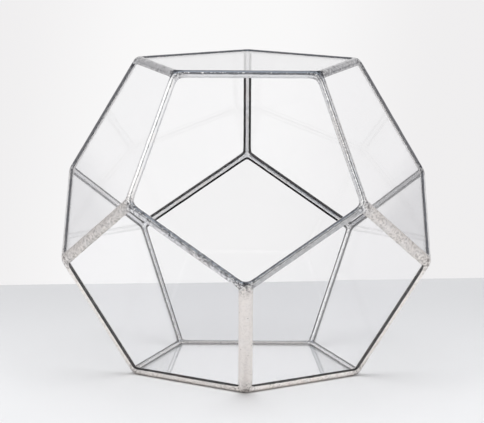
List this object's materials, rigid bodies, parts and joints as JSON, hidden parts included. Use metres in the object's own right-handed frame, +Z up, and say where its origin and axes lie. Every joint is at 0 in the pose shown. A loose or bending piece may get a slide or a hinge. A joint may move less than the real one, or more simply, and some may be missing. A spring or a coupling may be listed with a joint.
{
  "type": "glass terrarium",
  "caption": "Open glass terrarium case in the form of a dodecahedron: clear pentagon panes edged with copper foil and joined by rounded solder seams, with one upper side left open as its mouth.",
  "frame": {"origin": "middle of the base, on the surface that the case stands on", "axes": "+Z up, the open mouth faces -Y and upwards, +X to the right seen from the mouth's side"},
  "size_m": [0.2004, 0.2093, 0.1715],
  "materials": {
    "clear_glass": "clear flat window glass, polished faces",
    "copper_foil": "thin copper tape, its dark backing seen through the glass",
    "solder": "tin and lead solder run into rounded seams, bright silver, slightly rippled and pitted, matt in places"
  },
  "bodies": {
    "root": {"pane_base": "clear_glass", "foil_base": "copper_foil", "pane_top": "clear_glass", "foil_top": "copper_foil", "pane_lower_0": "clear_glass", "foil_lower_0": "copper_foil", "pane_lower_1": "clear_glass", "foil_lower_1": "copper_foil", "pane_lower_2": "clear_glass", "foil_lower_2": "copper_foil", "pane_lower_3": "clear_glass", "foil_lower_3": "copper_foil", "pane_lower_4": "clear_glass", "foil_lower_4": "copper_foil", "pane_upper_1": "clear_glass", "foil_upper_1": "copper_foil", "pane_upper_2": "clear_glass", "foil_upper_2": "copper_foil", "pane_upper_3": "clear_glass", "foil_upper_3": "copper_foil", "pane_upper_4": "clear_glass", "foil_upper_4": "copper_foil", "seam_base_0": "solder", "seam_base_1": "solder", "seam_base_2": "solder", "seam_base_3": "solder", "seam_base_4": "solder", "seam_leg_0": "solder", "seam_leg_1": "solder", "seam_leg_2": "solder", "seam_leg_3": "solder", "seam_leg_4": "solder", "rim_rise_0": "solder", "seam_rise_1": "solder", "seam_rise_2": "solder", "seam_rise_3": "solder", "seam_rise_4": "solder", "seam_fall_0": "solder", "seam_fall_1": "solder", "seam_fall_2": "solder", "seam_fall_3": "solder", "rim_fall_4": "solder", "rim_shoulder_0": "solder", "seam_shoulder_1": "solder", "seam_shoulder_2": "solder", "seam_shoulder_3": "solder", "rim_shoulder_4": "solder", "seam_crown_0": "solder", "seam_crown_1": "solder", "seam_crown_2": "solder", "seam_crown_3": "solder", "rim_crown_4": "solder"}
  },
  "joints": []
}
